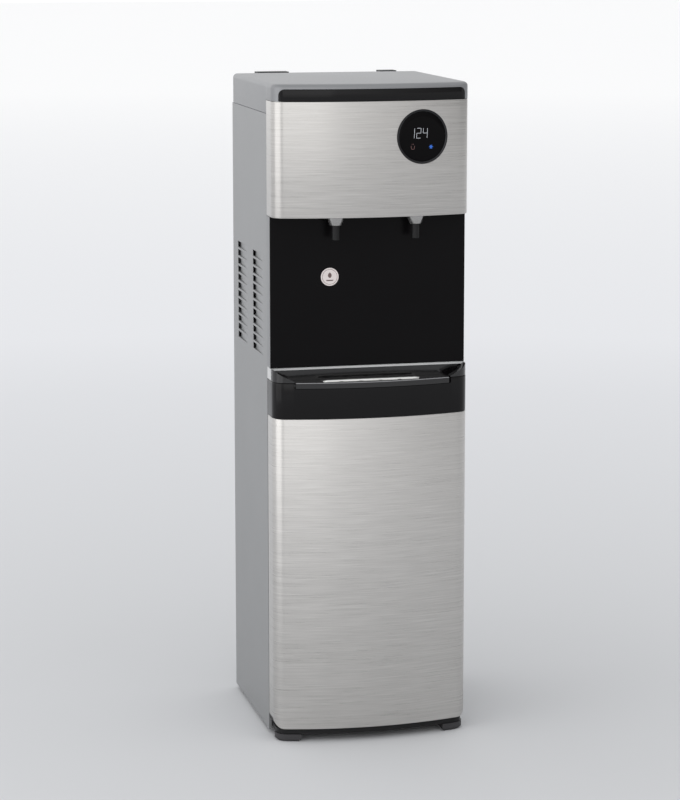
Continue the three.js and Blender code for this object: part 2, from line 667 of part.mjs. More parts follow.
const PIECES = [
  ['base_pan', basePan(), BLACK_PLASTIC],
  ['foot_front_right', frontFoot(), GREY_PLASTIC],
  ['foot_front_left', mirrored(frontFoot()), GREY_PLASTIC],
  ['foot_rear_right', rearFoot(), GREY_PLASTIC],
  ['foot_rear_left', mirrored(rearFoot()), GREY_PLASTIC],
  ['side_panel_right', sidePanel(), SILVER_PAINT],
  ['side_panel_left', mirrored(sidePanel()), SILVER_PAINT],
  ['rear_panel_lower', rearPanelLower(), GALVANISED],
  ['rear_panel_upper', rearPanelUpper(), GALVANISED],
  ['top_cover', topCover(), SILVER_PLASTIC],
  ['gloss_band', glossBand(), BLACK_GLOSS],
  ['upper_fascia', upperFascia(), STAINLESS],
  ['dial_bezel', dialBezel(), BLACK_PLASTIC],
  ['dial_lens', dialLens(), BLACK_GLOSS],
  ['head_soffit', soffit(), BLACK_PLASTIC],
  ['splash_panel', splashPanel(), BLACK_GLOSS],
  ['alcove_frame', alcoveFrame(), SILVER_PLASTIC],
  ['lip_trim', lipTrim(), LIGHT_PLASTIC],
  ['tray_housing', trayHousing(), BLACK_GLOSS],
  ['drip_tray', dripTray(), BLACK_GLOSS],
  ['drip_grille', dripGrille(), STAINLESS],
  ['badge_disc', badge(), LABEL_WHITE],
  ['nozzle_collar_hot', nozzleCollar(HOT_X), GREY_PLASTIC],
  ['nozzle_collar_cold', nozzleCollar(COLD_X), GREY_PLASTIC],
  ['nozzle_spout_hot', nozzleSpout(HOT_X), BLACK_PLASTIC],
  ['nozzle_spout_cold', nozzleSpout(COLD_X), BLACK_PLASTIC],
  ['tap_valve_hot', tapValve(HOT_X), WHITE_PLASTIC],
  ['tap_valve_cold', tapValve(COLD_X), WHITE_PLASTIC],
  ['hot_tank', hotTank(), STAINLESS],
  ['cold_tank', coldTank(), STAINLESS],
  ['cold_foam', coldFoam(), FOAM],
  ['tank_shelf', tankShelf(), GALVANISED],
  ['mid_deck', midDeck(), GALVANISED],
  ['bay_wall_left', bayWall(-BAY_HALF - 1.5, -BAY_HALF), WHITE_PLASTIC],
  ['bay_wall_right', bayWall(BAY_HALF, BAY_HALF + 1.5), WHITE_PLASTIC],
  ['bay_wall_rear', bayRear(), WHITE_PLASTIC],
  ['compressor', compressor(), BLACK_STEEL],
  ['water_pump', waterPump(), WHITE_PLASTIC],
  ['probe_holder', probeHolder(), WHITE_PLASTIC],
  ['probe_tube', probeTube(), STAINLESS],
  ['probe_cap', probeCap(), BLUE_PLASTIC],
  ['probe_hose', probeHose(), SILICONE],
  ['pump_hose', pumpHose(), SILICONE],
  ['condenser', condenser(), BLACK_STEEL],
  ['rear_spacer_left', rearSpacer(-113, -61), BLACK_PLASTIC],
  ['rear_spacer_right', rearSpacer(92, 120), BLACK_PLASTIC],
  ['control_board', controlBoard(), BOARD_GREEN],
  ['switch_box', switchBox(), BLACK_PLASTIC],
  ['rocker_hot', rocker(91), RED_PLASTIC],
  ['rocker_cold', rocker(119), GREEN_PLASTIC],
  ['drain_spout', drainSpout(), WHITE_PLASTIC],
  ['drain_cap', drainCap(), GREY_PLASTIC],
  ['cord_inlet', cordInlet(), BLACK_PLASTIC],
  ['hinge_pin_lower', hingePin(14.3, 31), GALVANISED],
  ['hinge_pin_upper', hingePin(557, 584), GALVANISED],
  ['door_skin', doorSkin(), STAINLESS],
  ['door_cap', doorCap(), BLACK_GLOSS],
  ['door_liner', doorLiner(), GREY_PLASTIC],
  ['door_rail', doorRail(), BLACK_PLASTIC]
]
for (const [name, body, finish] of PIECES) {
  part.add(piece(name, body, finish))
}

export default part
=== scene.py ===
import math

import bmesh
import bpy
from mathutils import Matrix, Vector


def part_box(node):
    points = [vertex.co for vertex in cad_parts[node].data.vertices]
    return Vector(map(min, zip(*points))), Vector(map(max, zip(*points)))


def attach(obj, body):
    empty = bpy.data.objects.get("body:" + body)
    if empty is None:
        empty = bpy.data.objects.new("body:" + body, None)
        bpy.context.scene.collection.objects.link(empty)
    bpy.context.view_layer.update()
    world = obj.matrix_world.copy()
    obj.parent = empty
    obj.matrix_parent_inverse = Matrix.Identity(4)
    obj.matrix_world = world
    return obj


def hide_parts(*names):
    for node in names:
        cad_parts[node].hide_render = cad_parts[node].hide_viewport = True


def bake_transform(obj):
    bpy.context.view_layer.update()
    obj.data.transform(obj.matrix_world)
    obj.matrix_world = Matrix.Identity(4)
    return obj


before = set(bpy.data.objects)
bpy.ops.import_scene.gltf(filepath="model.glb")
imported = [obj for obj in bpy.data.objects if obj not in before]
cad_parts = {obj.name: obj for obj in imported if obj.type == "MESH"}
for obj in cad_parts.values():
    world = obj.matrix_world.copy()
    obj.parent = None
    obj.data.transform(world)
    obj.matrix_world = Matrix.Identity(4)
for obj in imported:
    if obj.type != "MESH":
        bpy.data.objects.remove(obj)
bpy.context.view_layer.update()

MM = 0.001

# The cabinet's plan, in millimetres: a shallow bow between two rounded corners.
HALF = 155
FRONT = -181.5
BOW_R = 544
CORNER_R = 24
SEAM = -110.8
REAR = 156.5
# A depth well in front of everything, where cutting shapes begin.
CLEAR_FRONT = -220

# The gloss band under the cover's lip.
BAND_HALF = 146
BAND_TOP = 1020.7
BAND_CORNER = 9

# The door: where its wrap ends at the back, and the line its pins stand on.
DOOR_BACK = -113.5
HINGE_X = 149
HINGE_Y = -119.5

TAP_Y = -161.5

# The round display: its centre, and how far the bow turns it from straight ahead.
DIAL_X = 75
DIAL_Z = 947
DIAL_LEAN = math.asin(DIAL_X / BOW_R)
DIAL_HOLE = 41.8


# ---------------------------------------------------------------- finishes


def linear(hex_colour):
    channels = [int(hex_colour[i : i + 2], 16) / 255 for i in (0, 2, 4)]
    turned = [c / 12.92 if c <= 0.04045 else ((c + 0.055) / 1.055) ** 2.4 for c in channels]
    return (*turned, 1.0)


def node(tree, kind, settings=None, inputs=None):
    """A shader node with its settings, and its sockets set to a value or linked to an output."""
    made = tree.nodes.new(kind)
    for name, value in (settings or {}).items():
        setattr(made, name, value)
    for socket, value in (inputs or {}).items():
        if isinstance(value, bpy.types.NodeSocket):
            tree.links.new(value, made.inputs[socket])
        else:
            made.inputs[socket].default_value = value
    return made


def blank_finish(name, **shader):
    """A material with its shader; keyword names match the shader's sockets."""
    material = bpy.data.materials.new(name)
    material.use_nodes = True
    tree = material.node_tree
    tree.nodes.clear()
    surface = node(tree, "ShaderNodeBsdfPrincipled")
    node(tree, "ShaderNodeOutputMaterial", inputs={"Surface": surface.outputs["BSDF"]})
    for socket, value in shader.items():
        surface.inputs[socket.replace("_", " ")].default_value = value
    return material, tree, surface


def shade_between(tree, factor, low, high):
    ramp = node(tree, "ShaderNodeMix", {"data_type": "RGBA"}, {0: factor, 6: low, 7: high})
    return ramp.outputs[2]


def spread_out(tree, value, low, high):
    """The middle part of a noise, from 0.3 to 0.7, stretched to run from low to high."""
    limits = {"From Min": 0.3, "From Max": 0.7, "To Min": low, "To Max": high}
    return node(tree, "ShaderNodeMapRange", inputs={"Value": value, **limits}).outputs[0]


def between(tree, value, low, high):
    """0 up to the low value, 1 from the high one."""
    limits = {"From Min": low, "From Max": high}
    return node(tree, "ShaderNodeMapRange", inputs={"Value": value, **limits}).outputs[0]


def weighted(tree, value, weight, rest):
    settings = {"operation": "MULTIPLY_ADD"}
    return node(tree, "ShaderNodeMath", settings, {0: value, 1: weight, 2: rest}).outputs[0]


def relief(tree, surface, height, strength, distance):
    inputs = {"Height": height, "Strength": strength, "Distance": distance}
    bump = node(tree, "ShaderNodeBump", inputs=inputs)
    tree.links.new(bump.outputs[0], surface.inputs["Normal"])


def brushed_stainless(name, dark, light, roughness=0.3):
    """Type 430 sheet, belt-brushed across the width: fine level scratches that streak in tone
    and stretch every reflection upwards. Real scratches are 0.05 to 0.2 mm wide and 30 to 60 mm
    long. They are drawn 0.9 mm apart, with bands 2.4 mm apart over them, so that they show at a
    cabinet's distance."""
    material, tree, surface = blank_finish(
        name, Metallic=1.0, Anisotropic=0.55, Anisotropic_Rotation=0.25
    )
    place = node(tree, "ShaderNodeTexCoord").outputs["Object"]

    def streaks(per_metre, detail, breakup):
        inputs = {"Vector": place, "Scale": per_metre}
        stretched = node(tree, "ShaderNodeMapping", inputs=inputs).outputs[0]
        inputs = {"Vector": stretched, "Scale": 1.0, "Detail": detail, "Roughness": breakup}
        return node(tree, "ShaderNodeTexNoise", inputs=inputs).outputs["Fac"]

    scratches = streaks((16, 16, 1100), 4.0, 0.6)
    bands = streaks((9, 9, 420), 3.0, 0.55)
    mixed = weighted(tree, bands, 0.25, weighted(tree, scratches, 0.75, 0.0))
    shade = spread_out(tree, mixed, 0.0, 1.0)
    tone = shade_between(tree, shade, linear(dark), linear(light))
    tree.links.new(tone, surface.inputs["Base Color"])
    rough = spread_out(tree, mixed, roughness - 0.05, roughness + 0.07)
    tree.links.new(rough, surface.inputs["Roughness"])
    relief(tree, surface, scratches, 0.06, 0.3 * MM)
    return material


def grained(name, dark, light, grain_mm, depth_mm, roughness, spread=0.05, **shader):
    """A moulded, painted or cast surface: a soft all-over grain of one size that shifts tone and
    gloss a little and catches the light as fine relief. Moulded grain is really 0.1 to 0.3 mm;
    it is drawn several times coarser, so that it doesn't turn to noise at this distance."""
    material, tree, surface = blank_finish(name, **shader)
    place = node(tree, "ShaderNodeTexCoord").outputs["Object"]

    def noise(scale, detail):
        inputs = {"Vector": place, "Scale": scale, "Detail": detail, "Roughness": 0.5}
        return node(tree, "ShaderNodeTexNoise", inputs=inputs).outputs["Fac"]

    grain = noise(1000 / grain_mm, 2.0)
    cloud = noise(9.0, 3.0)
    tone = shade_between(tree, cloud, linear(dark), linear(light))
    tree.links.new(tone, surface.inputs["Base Color"])
    rough = spread_out(tree, grain, roughness - spread, roughness + spread)
    tree.links.new(rough, surface.inputs["Roughness"])
    relief(tree, surface, grain, 0.25, depth_mm * MM)
    return material


def glowing(name, hex_colour, strength):
    """Light-emitting segments behind the display glass, in one even colour."""
    material, _, surface = blank_finish(name, Roughness=0.4)
    for socket in ("Emission Color", "Base Color"):
        surface.inputs[socket].default_value = linear(hex_colour)
    surface.inputs["Emission Strength"].default_value = strength
    return material


# Door and head are the same brushed sheet. The head's copy is darker: painted shade, standing in
# for the darker reflection the head shows.
DOOR_STEEL = brushed_stainless("stainless_belt_brushed_door", "B8B6B3", "D2D0CD")
HEAD_STEEL_PAINTED_DARKER = brushed_stainless("stainless_belt_brushed_head_painted_shade", "ABA9A6", "C6C4C1")
GRILLE_STEEL = brushed_stainless("stainless_pressed_grille", "D0D0CE", "E6E6E4", roughness=0.18)
# Powder-coated steel: a silver mica coat with the slight orange peel of the oven.
CABINET_PAINT = grained("powder_coat_silver", "898A8B", "8F9091", 1.6, 0.05, 0.42, Metallic=0.4)
# Moulded silver ABS with metal flake, satin from the mould.
COVER_ABS = grained("abs_silver_flake", "828385", "898A8C", 0.9, 0.03, 0.4, Metallic=0.55)
# Light grey on the lip trim is a painted highlight: it stands for the bright line along the top
# edge of the black tray housing.
LIP_PAINTED_HIGHLIGHT = grained("abs_light_grey_painted_highlight", "B9BABA", "C2C3C3", 0.9, 0.02, 0.35)
# High-gloss piano-black ABS, polished mould, with a clear lacquer-like skin.
GLOSS_ABS = grained(
    "abs_piano_black", "0C0B0C", "100F10", 2.5, 0.008, 0.1, spread=0.03, Specular_IOR_Level=0.2
)
# The same black ABS in the tray and its housing, less polished.
TRAY_ABS = grained(
    "abs_black_tray", "0B0A0B", "0F0E0F", 2.0, 0.01, 0.14, spread=0.05, Specular_IOR_Level=0.6
)
# Back-painted acrylic splash sheet: near-black and even, softer in reflection than the gloss
# mouldings.
SPLASH_ACRYLIC = grained(
    "acrylic_black_satin", "0B0A0B", "0F0E0F", 3.0, 0.004, 0.22,
    spread=0.03, Specular_IOR_Level=0.07,
)
BLACK_PP = grained(
    "polypropylene_black_sparked", "111112", "171718", 0.8, 0.06, 0.45, Specular_IOR_Level=0.25
)
FOOT_PP = grained("polypropylene_charcoal", "2A292B", "323133", 0.9, 0.05, 0.5)
# Vacuum-metallised ABS on the tap collars, a dull chrome.
COLLAR_ABS = grained("abs_metallised", "A3A2A1", "B0AFAE", 0.9, 0.02, 0.22, Metallic=0.85)
GREY_ABS = grained("abs_mid_grey", "66676A", "707174", 0.9, 0.03, 0.45)
LINER_ABS = grained("vacuum_formed_grey", "B4B5B6", "BFC0C1", 1.2, 0.05, 0.5)
WHITE_PP = grained("polypropylene_white", "DCDCD9", "E8E8E5", 0.9, 0.04, 0.45)
ZINC_SHEET = grained(
    "galvanised_sheet", "8F9294", "A9ACAE", 6.0, 0.01, 0.4, spread=0.1, Metallic=0.9
)
BLACK_ENAMEL = grained("enamel_black", "141415", "1D1D1E", 1.4, 0.05, 0.35)
TANK_STEEL = grained("stainless_drawn_tank", "B5B4B1", "C9C8C5", 1.0, 0.01, 0.28, Metallic=1.0)
EPS_FOAM = grained("polystyrene_foam", "DEDACD", "F2EFE4", 4.0, 0.4, 0.9)
PCB_MASK = grained("circuit_board_solder_mask", "144425", "1F5E34", 3.0, 0.02, 0.35)
SILICONE = grained(
    "silicone_translucent", "CDD0CF", "DDE0DF", 1.5, 0.02, 0.3, Transmission_Weight=0.35
)
PROBE_BLUE = grained("polypropylene_blue", "1F549B", "2A64AE", 0.9, 0.03, 0.4)
ROCKER_RED = grained("rocker_red_gloss", "9E1B17", "B5241F", 1.0, 0.01, 0.25)
ROCKER_GREEN = grained("rocker_green_gloss", "1A713D", "24864A", 1.0, 0.01, 0.25)
PRINTED_LABEL = grained("vinyl_printed_white", "D5CCC9", "DFD7D4", 1.5, 0.01, 0.5)
LABEL_INK = grained("screen_print_ink", "5A4A48", "66524F", 1.5, 0.01, 0.5)
SCREW_ZINC = grained("screw_zinc_plated", "9A9B9C", "B4B5B6", 0.6, 0.01, 0.3, Metallic=1.0)
DIAL_GLASS = grained(
    "polycarbonate_black_window", "030203", "050405", 3.0, 0.003, 0.08,
    spread=0.02, Specular_IOR_Level=0.08,
)
DIGIT_GLOW = glowing("segment_glow_white", "B4B7BC", 0.3)
BEZEL_ABS = grained(
    "abs_black_chrome", "1E1E20", "28282A", 1.5, 0.01, 0.2, spread=0.03, Metallic=0.6
)
# Light grey for the bead on the tray's lip: a painted highlight along that edge.
RIM_PAINTED_HIGHLIGHT = grained("abs_rim_painted_highlight", "7E7E80", "8C8C8E", 1.0, 0.01, 0.15, spread=0.03)
COLD_GLOW = glowing("icon_glow_blue", "2F68C8", 0.4)
HOT_GLOW = glowing("icon_glow_dim_red", "5E403E", 0.12)


# ---------------------------------------------------------------- shapes


def round_steps(count):
    """Cosine and sine of equal steps round a full turn."""
    angles = [2 * math.pi * i / count for i in range(count)]
    return [(math.cos(a), math.sin(a)) for a in angles]


def bow_stations(inset, back):
    """Plan points of the bowed front at one inset, from the right rear round to the left rear."""
    centre = FRONT + BOW_R
    corner_x = HALF - CORNER_R
    corner_y = centre - math.sqrt((BOW_R - CORNER_R) ** 2 - corner_x**2)
    sweep = math.atan2(centre - corner_y, corner_x)
    small, large = CORNER_R - inset, BOW_R - inset
    right = [(HALF - inset, back), (HALF - inset, (back + corner_y) / 2)]
    for i in range(13):
        a = sweep * i / 12
        right.append((corner_x + small * math.cos(a), corner_y - small * math.sin(a)))
    for i in range(1, 24):
        a = sweep + (math.pi / 2 - sweep) * i / 24
        right.append((large * math.cos(a), centre - large * math.sin(a)))
    left = [(-x, y) for x, y in reversed(right)]
    return right + [(0, centre - large)] + left


def bow_face(x, inset=0):
    return FRONT + BOW_R - math.sqrt((BOW_R - inset) ** 2 - x * x)


def soft_corners(corners, steps=4):
    """A closed outline whose corners (u, v, radius) are rounded off."""
    outline = []
    count = len(corners)
    for i, (u, v, radius) in enumerate(corners):
        here = Vector((u, v))
        before = (Vector(corners[i - 1][:2]) - here).normalized()
        after = (Vector(corners[(i + 1) % count][:2]) - here).normalized()
        if radius == 0:
            outline.append((u, v))
            continue
        half = before.angle(after) / 2
        reach = radius / math.tan(half)
        centre = here + (before + after).normalized() * (radius / math.sin(half))
        a, b = here + before * reach, here + after * reach
        start = math.atan2(a.y - centre.y, a.x - centre.x)
        end = math.atan2(b.y - centre.y, b.x - centre.x)
        turn = (end - start + math.pi) % (2 * math.pi) - math.pi
        for k in range(steps + 1):
            t = start + turn * k / steps
            outline.append((centre.x + radius * math.cos(t), centre.y + radius * math.sin(t)))
    return outline


def fitted(name, shape, finish, body, replaced=(), bevel=0.0, crease=38):
    """A piece from a shape's points, in millimetres, and its faces. It gets its finish and is
    fixed to its body, if it has only one."""
    points, faces = shape
    mesh = bpy.data.meshes.new(name)
    mesh.from_pydata([Vector(p) * MM for p in points], [], faces)
    mesh.validate()
    facing_out(mesh)
    piece = bpy.data.objects.new(name, mesh)
    bpy.context.scene.collection.objects.link(piece)
    mesh.materials.append(finish)
    set_edges(piece, bevel, crease)
    if body:
        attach(piece, body)
    if replaced:
        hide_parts(*replaced)
    return piece


def set_edges(piece, bevel, crease=38):
    mesh = piece.data
    mesh.shade_smooth()
    mesh.set_sharp_from_angle(angle=math.radians(crease))
    if bevel:
        edge = piece.modifiers.new("eased_edges", "BEVEL")
        edge.width = bevel * MM
        edge.segments = 2
        edge.limit_method = "ANGLE"
        edge.angle_limit = math.radians(40)


def facing_out(mesh):
    """The same mesh with every face turned outwards."""
    shell = bmesh.new()
    shell.from_mesh(mesh)
    bmesh.ops.recalc_face_normals(shell, faces=shell.faces)
    shell.to_mesh(mesh)
    shell.free()


def carved(piece, shape, operation="DIFFERENCE"):
    """Cuts the piece by a closed shape given in millimetres, or keeps only what is inside it."""
    points, faces = shape
    mesh = bpy.data.meshes.new("cutter")
    mesh.from_pydata([Vector(p) * MM for p in points], [], faces)
    facing_out(mesh)
    cutter = bpy.data.objects.new("cutter", mesh)
    bpy.context.scene.collection.objects.link(cutter)
    cut = piece.modifiers.new("cut", "BOOLEAN")
    cut.operation, cut.solver, cut.object = operation, "EXACT", cutter
    others = [m for m in piece.modifiers if m != cut]
    for m in others:
        m.show_viewport = False
    bpy.context.view_layer.update()
    solved = piece.evaluated_get(bpy.context.evaluated_depsgraph_get())
    shaped = bpy.data.meshes.new_from_object(solved)
    for m in others:
        m.show_viewport = True
    piece.modifiers.remove(cut)
    piece.data = shaped
    bpy.data.objects.remove(cutter)
    shaped.set_sharp_from_angle(angle=math.radians(34))


def slab(outline, y0, y1):
    """A closed shape from an outline seen from the front, as (across, up) pairs."""
    return lofted([[(u, y0, v) for u, v in outline], [(u, y1, v) for u, v in outline]])


def lofted(rings, joined=False):
    """A skin through equal closed rings; its two ends are capped, or joined to each other."""
    size, count = len(rings[0]), len(rings)
    points = [p for ring in rings for p in ring]
    faces = []
    for r in range(count if joined else count - 1):
        here, there = r * size, (r + 1) % count * size
        for k in range(size):
            after = (k + 1) % size
            faces.append((here + k, here + after, there + after, there + k))
    if not joined:
        faces.append(tuple(reversed(range(size))))
        faces.append(tuple((count - 1) * size + k for k in range(size)))
    return points, faces


def plates(outlines, near, far):
    """Thin flat shapes between two depths, from (across, up) outlines."""
    points, faces = [], []
    for outline in outlines:
        base, n = len(points), len(outline)
        points += [(u, near, v) for u, v in outline] + [(u, far, v) for u, v in outline]
        faces.append(tuple(base + k for k in range(n)))
        faces.append(tuple(base + 2 * n - 1 - k for k in range(n)))
        for k in range(n):
            after = (k + 1) % n
            faces.append((base + k, base + n + k, base + n + after, base + after))
    return points, faces


def together(*shapes):
    """Several shapes as the points and faces of one."""
    points, faces = [], []
    for more_points, more_faces in shapes:
        base = len(points)
        points += more_points
        faces += [tuple(base + k for k in face) for face in more_faces]
    return points, faces


def facing_rings(x, z, levels, sides):
    """Rings round a level line that runs front to back, from (radius, depth) pairs."""
    return [[(x + r * c, y, z + r * s) for c, s in round_steps(sides)] for r, y in levels]


def bow_wrap(profile_at, back):
    """A strip bent round the bowed front. profile_at(x) gives its section as (inset, height)
    pairs."""
    bare = bow_stations(0, back)
    rings = []
    tracks = {}
    for i, (x, _) in enumerate(bare):
        ring = []
        for inset, height in profile_at(x):
            if inset not in tracks:
                tracks[inset] = bow_stations(inset, back)
            u, v = tracks[inset][i]
            ring.append((u, v, height))
        rings.append(ring)
    return lofted(rings)


def spun(profile, x, y, sides=64):
    """A turned piece about a vertical line, from a closed run of (radius, height) pairs."""
    rings = [[(x + r * c, y + r * s, z) for r, z in profile] for c, s in round_steps(sides)]
    return lofted(rings, joined=True)


# ---------------------------------------------------------------- cabinet head


def build_cover():
    """Silver top moulding: deep skirt behind the seam, shallow lip in front, soft shoulder and a
    faint crown."""
    def ring(inset, lip, skirt):
        """One level, from the right rear corner round the front to the left rear corner."""
        side, rear = HALF - inset, REAR - inset
        r = 8 - min(inset, 7)
        half = []
        for i in range(7):
            a = math.pi / 2 * i / 6
            half.append((side - r + r * math.sin(a), rear - r + r * math.cos(a), skirt))
        half += [(side, -100.0, skirt), (side, SEAM + 0.35, skirt), (side, SEAM + 0.1, lip)]
        front = [(x, y, lip) for x, y in bow_stations(inset, -100)[1:-1]]
        return half + front + [(-x, y, z) for x, y, z in reversed(half)]

    rings = [
        ring(3.2, 1024.2, 1024.2),
        ring(3.2, 1002.8, 982.0),
        ring(2.6, 1002.4, 981.6),
        ring(0.4, 1002.4, 981.6),
        ring(0, 1002.8, 982.0),
        ring(0, 1021.9, 1021.0),
    ]
    shoulder_in, shoulder_up, shoulder_foot = 7.5, 6.6, 1021.9
    for i in range(1, 9):
        a = math.pi / 2 * i / 8
        rise = shoulder_foot + shoulder_up * math.sin(a)
        rings.append(ring(shoulder_in * (1 - math.cos(a)), rise, rise))
    edge = rings[-1]
    middle = Vector((0, -12))
    crown_foot, crown_up = 1028.5, 1.4
    for share in (0.12, 0.3, 0.5, 0.7, 0.88):
        height = crown_foot + crown_up * math.sin(share * math.pi / 2)
        rings.append([(*(Vector(p[:2]).lerp(middle, share)), height) for p in edge])
    cover = fitted(
        "cover_moulding", lofted(rings), COVER_ABS, "cabinet", ["top_cover"],
        crease=30,
    )
    carved(cover, slab(band_outline(0.3), CLEAR_FRONT, -112))


def band_outline(grow):
    side, top = BAND_HALF + grow, BAND_TOP + grow
    foot = 900
    corners = [
        (side, foot, 0), (side, top, BAND_CORNER), (-side, top, BAND_CORNER), (-side, foot, 0)
    ]
    return soft_corners(corners, steps=8)


def build_front_skins():
    band = soft_corners([
        (0.7, 1002.4, 0.8), (0.7, BAND_TOP, 0.8), (3.0, BAND_TOP, 0), (3.0, 1002.4, 0)
    ])
    strip = fitted(
        "gloss_band_moulding", bow_wrap(lambda x: band, SEAM), GLOSS_ABS, "cabinet",
        ["gloss_band"], bevel=0.4,
    )
    carved(strip, slab(band_outline(0), CLEAR_FRONT, -100), operation="INTERSECT")

    foot, top = 825.2, 1002
    head = soft_corners([(0, foot, 0.8), (0, top, 0.7), (1.6, top, 0), (1.6, foot, 0)])
    skin = fitted(
        "head_skin", bow_wrap(lambda x: head, SEAM), HEAD_STEEL_PAINTED_DARKER, "cabinet", ["upper_fascia"],
    )
    carved(skin, dial_disc([(DIAL_HOLE, -20), (DIAL_HOLE, 20)]))

    def door_section(x):
        """The sheet's section; its foot lifts in a 13 mm corner at either side."""
        corner = max(0.0, abs(x) - (HALF - 13))
        foot = 21 + 13 - math.sqrt(13 * 13 - corner * corner)
        top = 514.6
        return soft_corners([(0, foot, 0.6), (0, top, 0.6), (1.4, top, 0), (1.4, foot, 0)])

    fitted(
        "door_skin_sheet", bow_wrap(door_section, DOOR_BACK), DOOR_STEEL, "door", ["door_skin"],
    )

    foot, top = 515.1, 571
    cap = soft_corners([(0, foot, 0.6), (0, top, 1.4), (7.5, top, 0.6), (7.5, foot, 0)])
    moulding = fitted(
        "door_cap_moulding", bow_wrap(lambda x: cap, DOOR_BACK), GLOSS_ABS, "door", ["door_cap"],
        bevel=0.7,
    )
    side, floor, above = 125.5, 562, 620
    notch = soft_corners([
        (side, floor, 2.5), (side, above, 0), (-side, above, 0), (-side, floor, 2.5)
    ])
    carved(moulding, slab(notch, CLEAR_FRONT, -150))

    bore, outer, foot, top = 2.6, 6.6, 545, 570.5
    wall = [(bore, foot), (outer, foot), (outer, top), (bore, top)]
    tube = spun(wall, HINGE_X, HINGE_Y, sides=40)
    boss = fitted("hinge_boss", tube, GLOSS_ABS, "door", bevel=0.4)
    block = slab([(154, 500), (154, 600), (100, 600), (100, 500)], -170, -113.6)
    carved(boss, block, operation="INTERSECT")


# ---------------------------------------------------------------- display


def on_dial(points):
    """Points drawn round the dial's centre (right, out, up) put in place on the bowed head."""
    turn = Matrix.Rotation(DIAL_LEAN, 3, "Z")
    base = Vector((DIAL_X, bow_face(DIAL_X), DIAL_Z))
    return [tuple(turn @ Vector((u, -out, v)) + base) for u, out, v in points]


def dial_ring(profile, sides=96):
    """A turned ring about the dial's axis from (radius, out) pairs."""
    rings = [[(r * c, out, r * s) for r, out in profile] for c, s in round_steps(sides)]
    points, faces = lofted(rings, joined=True)
    return on_dial(points), faces


def dial_disc(levels, sides=96):
    """A round window through (radius, out) rings from its back to its face."""
    points, faces = lofted(facing_rings(0, 0, levels, sides))
    return on_dial(points), faces


def bar(u0, v0, u1, v1, width, lean):
    """One display segment as a thin pointed bar, as (right, up) outline."""
    a, b = Vector((u0, v0)), Vector((u1, v1))
    along = (b - a).normalized()
    across = Vector((-along.y, along.x)) * width / 2
    cut = along * width / 2
    ends = [a, a + cut + across, b - cut + across, b, b - cut - across, a + cut - across]
    return [(p.x + p.y * lean, p.y) for p in ends]


def flat_marks(name, outlines, finish):
    """Lit shapes just under the window's face, from (right, up) outlines."""
    out, thick = -0.45, 0.25
    points, faces = plates(outlines, out - thick, out)
    fitted(name, (on_dial(points), faces), finish, "cabinet")


def build_display():
    bezel = dial_ring([
        (38.2, -9), (38.2, -0.9), (38.6, -0.5), (40.6, 0.2),
        (41.3, 0.1), (41.5, -0.4), (41.5, -4), (40, -9),
    ])
    fitted(
        "dial_bezel_ring", bezel, BEZEL_ABS, "cabinet", ["dial_bezel"], crease=50
    )
    window = dial_disc([
        (37.9, -3.6), (37.9, -1.5), (37.6, -1.1), (36.8, -0.9), (30, -0.75), (20, -0.65), (8, -0.62)
    ])
    fitted("dial_window", window, DIAL_GLASS, "cabinet", ["dial_lens"], crease=50)

    segments = {"1": "bc", "2": "abged", "4": "fgbc"}
    width, height, stroke, lean = 6.8, 15.0, 0.6, 0.06
    top = 12.8
    mid, low = top - height / 2, top - height
    outlines = []
    for place, digit in enumerate("124"):
        left = -20.5 + place * 10.6
        right = left + width
        bars = {
            "a": (left, top, right, top),
            "b": (right, top, right, mid),
            "c": (right, mid, right, low),
            "d": (left, low, right, low),
            "e": (left, mid, left, low),
            "f": (left, top, left, mid),
            "g": (left, mid, right, mid),
        }
        outlines += [bar(*bars[letter], stroke, lean) for letter in segments[digit]]
    flat_marks("display_digits", outlines, DIGIT_GLOW)

    flake = []
    for k in range(3):
        a = math.pi * k / 3
        du, dv = 3.4 * math.cos(a), 3.4 * math.sin(a)
        flake.append(bar(14 - du, -16 - dv, 14 + du, -16 + dv, 0.9, 0))
    flat_marks("display_cold_icon", flake, COLD_GLOW)

    cup_and_steam = [
        (-19, -13.5, -18, -19, 0.8),
        (-18, -19, -14, -19, 0.8),
        (-14, -19, -13, -13.5, 0.8),
        (-17.4, -12.6, -17.0, -10.6, 0.7),
        (-15.2, -12.6, -14.8, -10.6, 0.7),
    ]
    flat_marks("display_hot_icon", [bar(*line, 0) for line in cup_and_steam], HOT_GLOW)


# ---------------------------------------------------------------- taps and badge


def build_taps():
    collar = [
        (6.3, 825.6), (6.3, 813.3), (6.9, 812.9), (8.9, 812.9),
        (9.5, 813.4), (13.0, 824.4), (13.2, 825.0), (13.2, 825.6),
    ]
    spout = [(4, 829), (4, 791), (4.4, 790.1), (5.4, 790.1), (6, 790.8), (6, 829)]
    for side in ("hot", "cold"):
        near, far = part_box(f"nozzle_spout_{side}")
        x = (near[0] + far[0]) / 2 / MM
        fitted(
            f"tap_collar_{side}", spun(collar, x, TAP_Y), COLLAR_ABS, "cabinet",
            [f"nozzle_collar_{side}"],
        )
        fitted(
            f"tap_spout_{side}", spun(spout, x, TAP_Y), BLACK_PP, "cabinet",
            [f"nozzle_spout_{side}"],
        )


